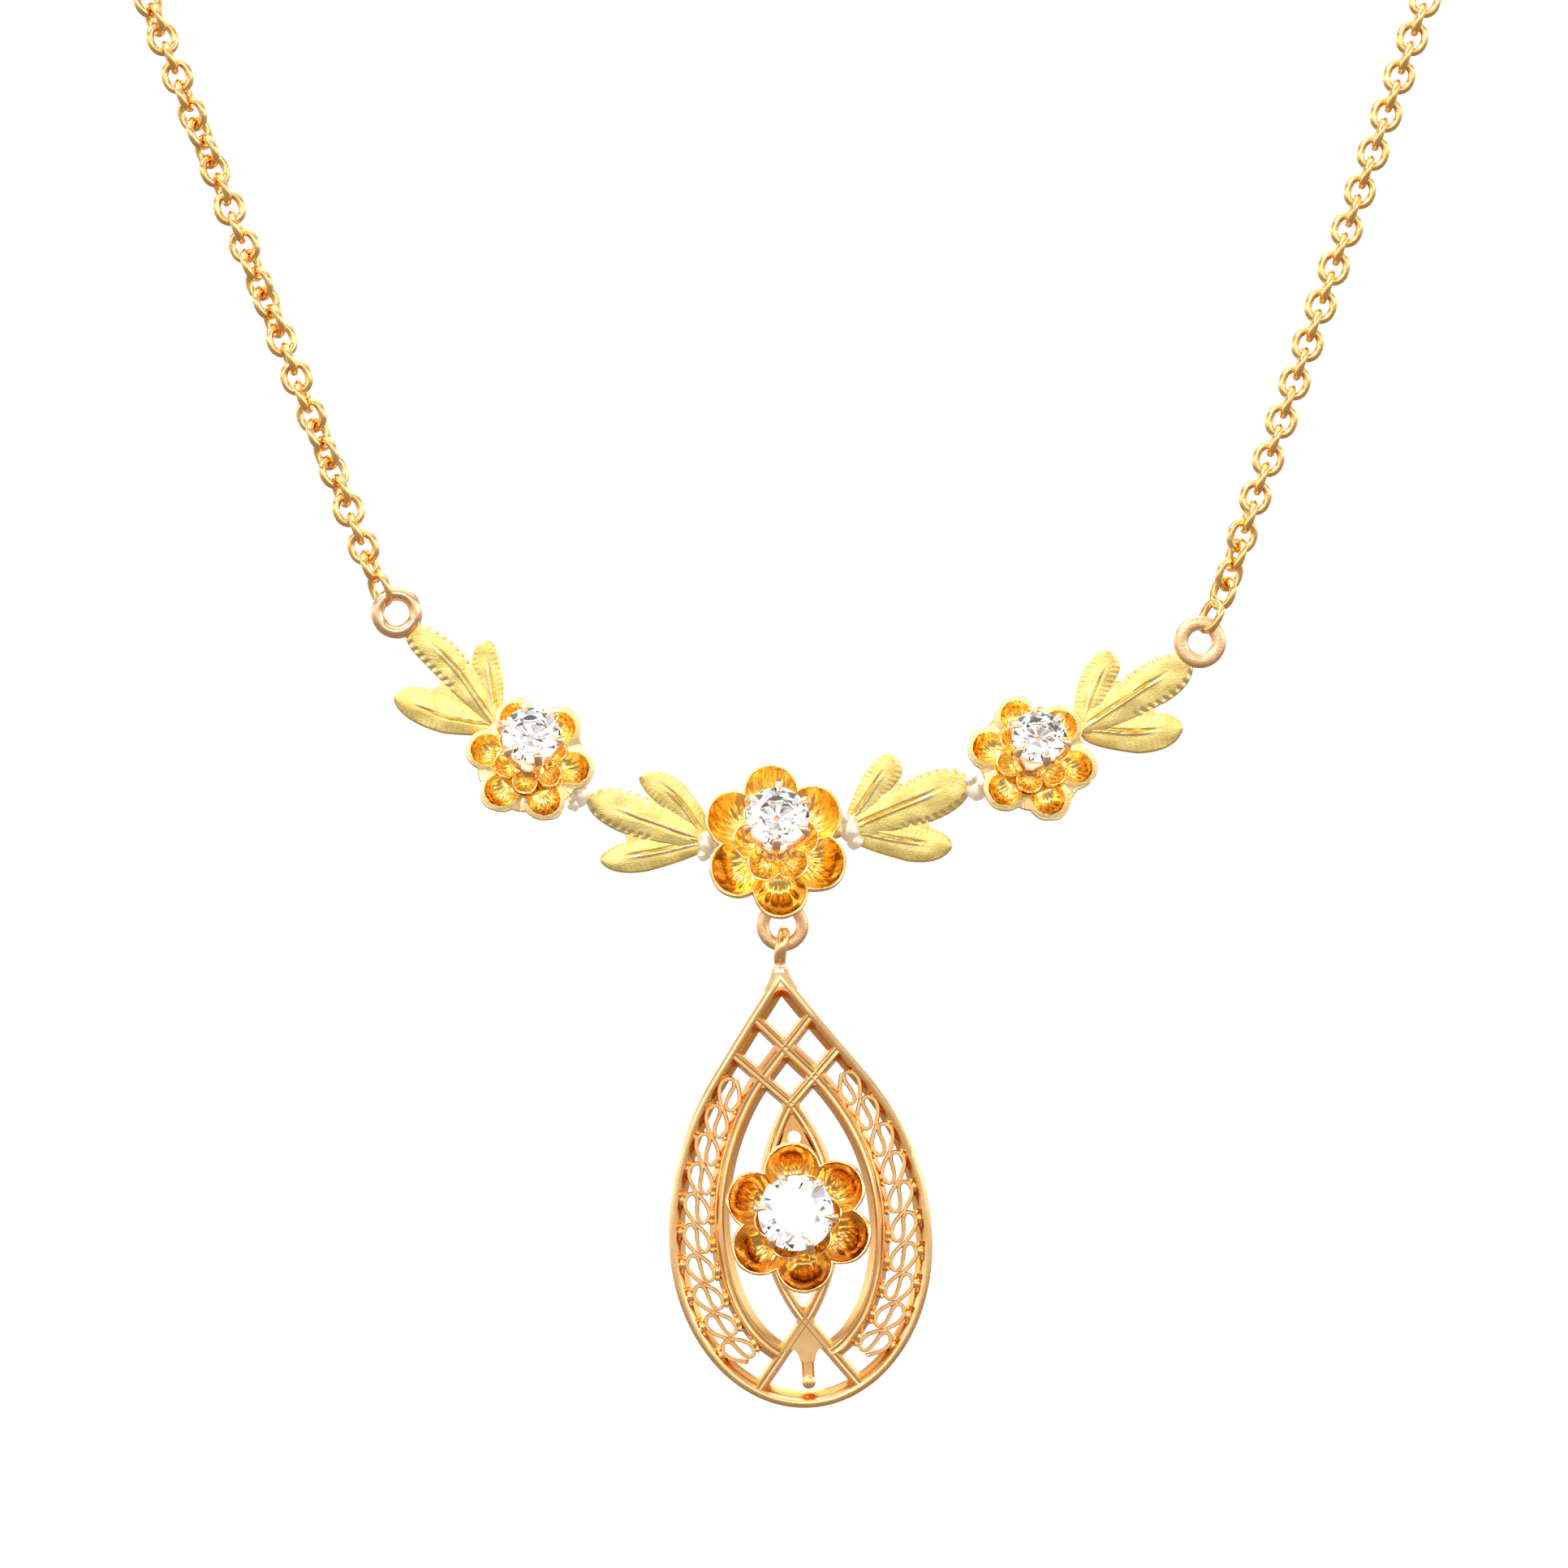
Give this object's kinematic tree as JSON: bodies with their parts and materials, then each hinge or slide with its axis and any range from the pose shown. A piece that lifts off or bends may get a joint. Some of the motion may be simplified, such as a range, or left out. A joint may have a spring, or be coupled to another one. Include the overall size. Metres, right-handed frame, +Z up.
{
  "type": "lavaliere necklace",
  "caption": "Gold lavaliere necklace: fine link chain, a garland of stone-set flowers and engraved leaves, and an openwork teardrop drop with a flower in its middle.",
  "frame": {"origin": "where the clasp's inner side rests on the nape", "axes": "+Z up, -Y out of the wearer's chest (the front), +X to the wearer's left"},
  "size_m": [0.1175, 0.0946, 0.166],
  "materials": {
    "chain_gold": "polished",
    "ring_gold": "polished, rose",
    "leaf_gold": "matte, green",
    "petal_gold": "polished, fluted",
    "drop_petal_gold": "polished, fluted, dark in the hollows",
    "setting_gold": "polished, rose",
    "frame_gold": "bright bevelled edges, satin tops",
    "filigree_gold": "polished wire",
    "diamond": "old cut, clear"
  },
  "bodies": {
    "necklace": {"chain_left": "chain_gold", "chain_right": "chain_gold", "clasp": "chain_gold", "end_ring_left": "ring_gold", "end_ring_right": "ring_gold", "drop_ring": "ring_gold", "leaf_spray_left_outer": "leaf_gold", "leaf_spray_left_inner": "leaf_gold", "leaf_spray_right_inner": "leaf_gold", "leaf_spray_right_outer": "leaf_gold", "flower_left": "petal_gold", "setting_left": "setting_gold", "stone_left": "diamond", "flower_centre": "petal_gold", "setting_centre": "setting_gold", "stone_centre": "diamond", "flower_right": "petal_gold", "setting_right": "setting_gold", "stone_right": "diamond"},
    "drop": {"drop_frame": "frame_gold", "filigree_left": "filigree_gold", "filigree_right": "filigree_gold", "drop_flower": "drop_petal_gold", "drop_setting": "setting_gold", "drop_stone": "diamond"}
  },
  "joints": [
    {"name": "drop_swing", "type": "hinge", "parent": "necklace", "child": "drop", "pos_m": [-0.004, -0.0842, -0.135], "axis": [0, 1, 0], "range_deg": [-60, 60]}
  ]
}
